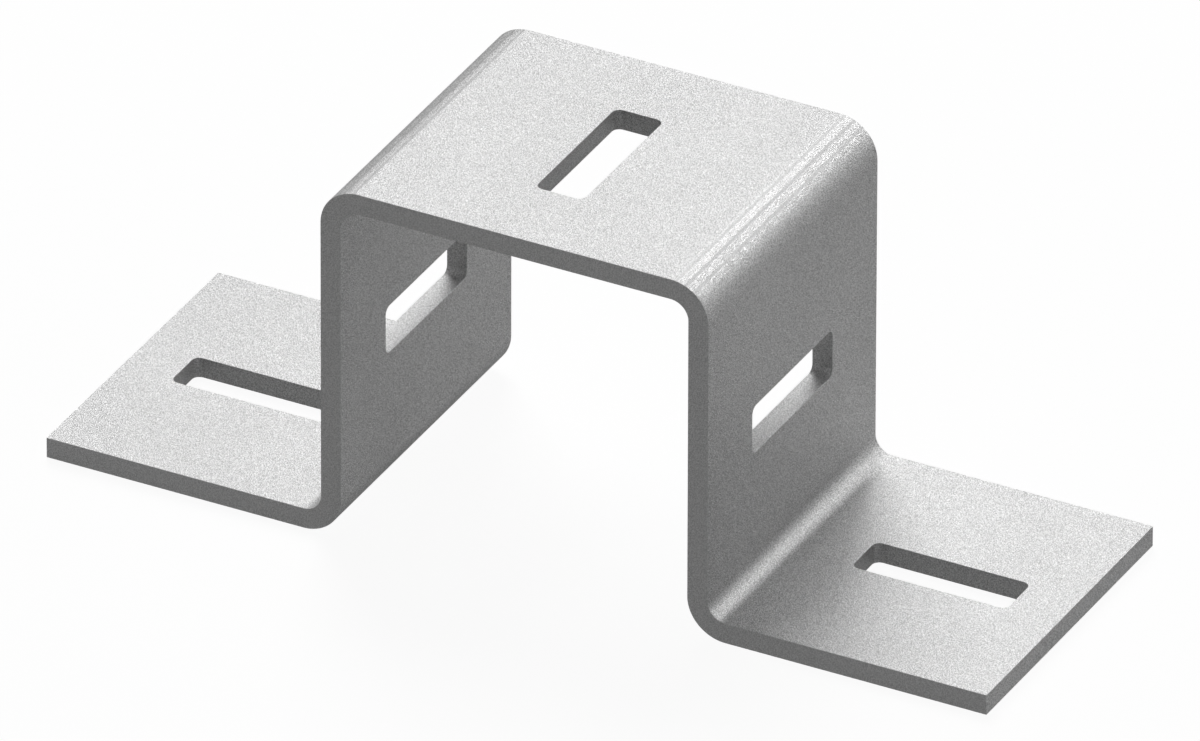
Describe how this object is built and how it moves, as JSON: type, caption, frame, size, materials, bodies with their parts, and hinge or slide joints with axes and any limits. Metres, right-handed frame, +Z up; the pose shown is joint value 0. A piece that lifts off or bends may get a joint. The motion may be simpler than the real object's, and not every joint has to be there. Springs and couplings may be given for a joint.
{
  "type": "strut cross connector",
  "caption": "Hat-shaped bracket folded from steel strip, with round-cornered slots, that straddles a strut and bolts it down across another.",
  "frame": {"origin": "on the plane that the undersides of the two flanges lie on, below the middle of the crown", "axes": "+X across the strut that it straddles, from flange to flange; +Y along that strut, which is the width of the strip; +Z up through the crown"},
  "size_m": [0.1158, 0.04, 0.0442],
  "materials": {
    "zinc_coated_steel": "satin zinc coating with a fine speckled grain, duller on the cut edges"
  },
  "bodies": {
    "root": {"folded_strip": "zinc_coated_steel"}
  },
  "joints": []
}
